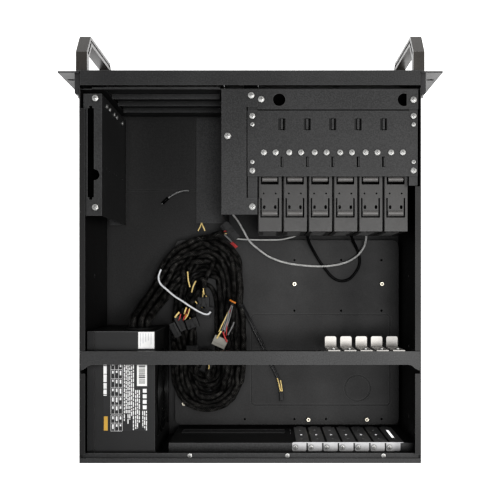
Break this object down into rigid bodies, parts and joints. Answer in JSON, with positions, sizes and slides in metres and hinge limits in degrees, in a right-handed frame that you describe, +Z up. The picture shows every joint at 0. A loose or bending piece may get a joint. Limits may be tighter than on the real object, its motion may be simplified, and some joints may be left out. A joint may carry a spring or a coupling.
{
  "type": "rackmount computer chassis",
  "caption": "Open-topped black 4U rack chassis with handled ears, wide bays, a cage of drive trays, a card crossbar, a motherboard tray and a fitted power supply with its cable harness.",
  "frame": {"origin": "middle of the bottom edge of the rack face: on the plane of the ears' front faces, halfway across, at the height of the underside", "axes": "+X across the rack, towards the wide bays; +Y from the rack face to the back; +Z up"},
  "size_m": [0.4826, 0.541, 0.1772],
  "materials": {
    "black_steel": "fine-textured black powder coat",
    "ear_metal": "satin dark coat",
    "handle_metal": "satin dark coat, worn bright on bends",
    "black_plastic": "matt moulded",
    "tray_plastic": "matt moulded",
    "gloss_black": "gloss moulded",
    "brass_plated": "nickel plated",
    "bright_steel": "bright plated sheet",
    "bright_zinc": "bright zinc",
    "psu_paint": "smooth satin black",
    "board_green": "circuit board",
    "black_rubber": "soft black",
    "label_white": "printed film, no wording",
    "button_metal": "satin",
    "lens": "translucent",
    "cable_black": "braided sleeve",
    "cable_grey": "smooth jacket",
    "tie_grey": "smooth",
    "connector_grey": "moulded nylon",
    "clip_white": "moulded"
  },
  "bodies": {
    "chassis": {"base_pan": "black_steel", "rear_wall": "black_steel", "front_wall": "black_steel", "front_panel": "black_steel", "ear_left": "ear_metal", "ear_right": "ear_metal", "handle_left": "handle_metal", "handle_right": "handle_metal", "bay_bracket_outer": "black_steel", "bay_bracket_inner": "black_steel", "cage_top_plate": "black_steel", "drive_cage": "black_steel", "tray_guides": "black_plastic", "fan_bracket": "black_steel", "motherboard_tray": "black_steel", "standoffs": "brass_plated", "crossbar": "black_steel", "slot_covers": "bright_steel", "io_plate": "black_steel", "psu_case": "psu_paint", "psu_cover": "psu_paint", "psu_board": "board_green", "psu_fan_frame": "black_plastic", "psu_fan_guard": "black_steel", "psu_inlet": "black_plastic", "psu_bushing": "black_rubber", "psu_label": "label_white", "front_fan_frame": "black_plastic", "bay_blanks": "black_steel", "front_ports": "gloss_black", "led_lenses": "lens", "case_screws": "bright_zinc", "harness_trunk": "cable_black", "harness_hank": "cable_black", "twist_tie": "tie_grey", "panel_cable": "cable_grey", "usb_cable": "cable_black", "led_wire": "cable_grey", "spare_wires": "cable_black", "spare_plug": "black_plastic", "molex_plug": "connector_grey", "sata_plugs": "black_plastic", "atx_plug": "black_plastic", "speaker_lead": "cable_black"},
    "drive_tray_1": {"drive_tray_1": "tray_plastic"},
    "drive_tray_2": {"drive_tray_2": "tray_plastic"},
    "drive_tray_3": {"drive_tray_3": "tray_plastic"},
    "drive_tray_4": {"drive_tray_4": "tray_plastic"},
    "drive_tray_5": {"drive_tray_5": "tray_plastic"},
    "drive_tray_6": {"drive_tray_6": "tray_plastic"},
    "card_clip_1": {"card_clip_1": "clip_white"},
    "card_clip_2": {"card_clip_2": "clip_white"},
    "card_clip_3": {"card_clip_3": "clip_white"},
    "card_clip_4": {"card_clip_4": "clip_white"},
    "card_clip_5": {"card_clip_5": "clip_white"},
    "front_fan_rotor": {"front_fan_rotor": "black_plastic"},
    "psu_fan_rotor": {"psu_fan_rotor": "black_plastic"},
    "power_button": {"power_button": "button_metal"},
    "reset_button": {"reset_button": "button_metal"},
    "psu_switch": {"psu_switch": "gloss_black"}
  },
  "joints": [
    {"name": "tray_1_slide", "type": "slide", "parent": "chassis", "child": "drive_tray_1", "axis": [0, 1, 0], "range_m": [0, 0.13]},
    {"name": "tray_2_slide", "type": "slide", "parent": "chassis", "child": "drive_tray_2", "axis": [0, 1, 0], "range_m": [0, 0.13]},
    {"name": "tray_3_slide", "type": "slide", "parent": "chassis", "child": "drive_tray_3", "axis": [0, 1, 0], "range_m": [0, 0.13]},
    {"name": "tray_4_slide", "type": "slide", "parent": "chassis", "child": "drive_tray_4", "axis": [0, 1, 0], "range_m": [0, 0.13]},
    {"name": "tray_5_slide", "type": "slide", "parent": "chassis", "child": "drive_tray_5", "axis": [0, 1, 0], "range_m": [0, 0.13]},
    {"name": "tray_6_slide", "type": "slide", "parent": "chassis", "child": "drive_tray_6", "axis": [0, 1, 0], "range_m": [0, 0.13]},
    {"name": "clip_1_slide", "type": "slide", "parent": "chassis", "child": "card_clip_1", "axis": [0, 0, 1], "range_m": [-0.009, 0]},
    {"name": "clip_2_slide", "type": "slide", "parent": "chassis", "child": "card_clip_2", "axis": [0, 0, 1], "range_m": [-0.009, 0]},
    {"name": "clip_3_slide", "type": "slide", "parent": "chassis", "child": "card_clip_3", "axis": [0, 0, 1], "range_m": [-0.009, 0]},
    {"name": "clip_4_slide", "type": "slide", "parent": "chassis", "child": "card_clip_4", "axis": [0, 0, 1], "range_m": [-0.009, 0]},
    {"name": "clip_5_slide", "type": "slide", "parent": "chassis", "child": "card_clip_5", "axis": [0, 0, 1], "range_m": [-0.009, 0]},
    {"name": "front_fan_spin", "type": "hinge", "parent": "chassis", "child": "front_fan_rotor", "pos_m": [-0.11, 0.0347, 0.088], "axis": [0, 1, 0], "continuous": true},
    {"name": "psu_fan_spin", "type": "hinge", "parent": "chassis", "child": "psu_fan_rotor", "pos_m": [0.1348, 0.4107, 0.085], "axis": [1, 0, 0], "continuous": true},
    {"name": "power_press", "type": "slide", "parent": "chassis", "child": "power_button", "axis": [0, 1, 0], "range_m": [0, 0.0015], "stiffness_N_per_m": 600},
    {"name": "reset_press", "type": "slide", "parent": "chassis", "child": "reset_button", "axis": [0, 1, 0], "range_m": [0, 0.0015], "stiffness_N_per_m": 600},
    {"name": "switch_rock", "type": "hinge", "parent": "chassis", "child": "psu_switch", "pos_m": [0.1465, 0.4847, 0.076], "axis": [0, 0, 1], "range_deg": [0, 16]}
  ]
}
